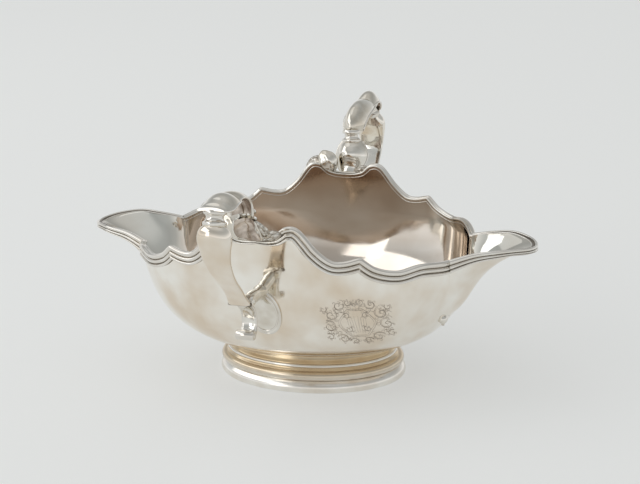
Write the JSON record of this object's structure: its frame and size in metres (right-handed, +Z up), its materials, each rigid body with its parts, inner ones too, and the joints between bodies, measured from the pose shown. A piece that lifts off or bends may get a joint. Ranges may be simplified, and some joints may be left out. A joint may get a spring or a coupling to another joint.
{
  "type": "silver sauce boat",
  "caption": "Double-lipped silver sauce boat with scalloped reeded rim, two flying scroll handles and a moulded oval foot.",
  "frame": {"origin": "middle of the foot's underside", "axes": "+X towards one pouring lip, +Y towards the back handle, +Z up"},
  "size_m": [0.213, 0.202, 0.112],
  "materials": {
    "raised_silver": "polished sterling silver",
    "rim_wire": "polished sterling silver",
    "foot_silver": "polished sterling silver",
    "cast_silver": "polished sterling silver"
  },
  "bodies": {
    "root": {"bowl": "raised_silver", "rim_moulding_front_left": "rim_wire", "rim_moulding_front_right": "rim_wire", "rim_moulding_back_left": "rim_wire", "rim_moulding_back_right": "rim_wire", "rim_bridge_front": "rim_wire", "rim_bridge_back": "rim_wire", "lip_wire_left": "rim_wire", "lip_wire_right": "rim_wire", "crease_drops": "cast_silver", "foot_skirt": "foot_silver", "foot_ridge_wire": "foot_silver", "foot_bead_wire": "foot_silver", "foot_base_band": "foot_silver", "root_leaves_front": "cast_silver", "root_leaves_back": "cast_silver", "inner_leg_front": "cast_silver", "inner_leg_back": "cast_silver", "inner_collar_front": "cast_silver", "inner_collar_back": "cast_silver", "arch_front": "cast_silver", "arch_back": "cast_silver", "cap_leaf_front": "cast_silver", "cap_leaf_back": "cast_silver", "outer_collar_front": "cast_silver", "outer_collar_back": "cast_silver", "strap_front": "cast_silver", "strap_back": "cast_silver", "lower_scroll_front": "cast_silver", "lower_scroll_back": "cast_silver", "thumb_roll_front": "cast_silver", "thumb_roll_back": "cast_silver", "stub_front": "cast_silver", "stub_back": "cast_silver", "body_pad_front": "cast_silver", "body_pad_back": "cast_silver"}
  },
  "joints": []
}
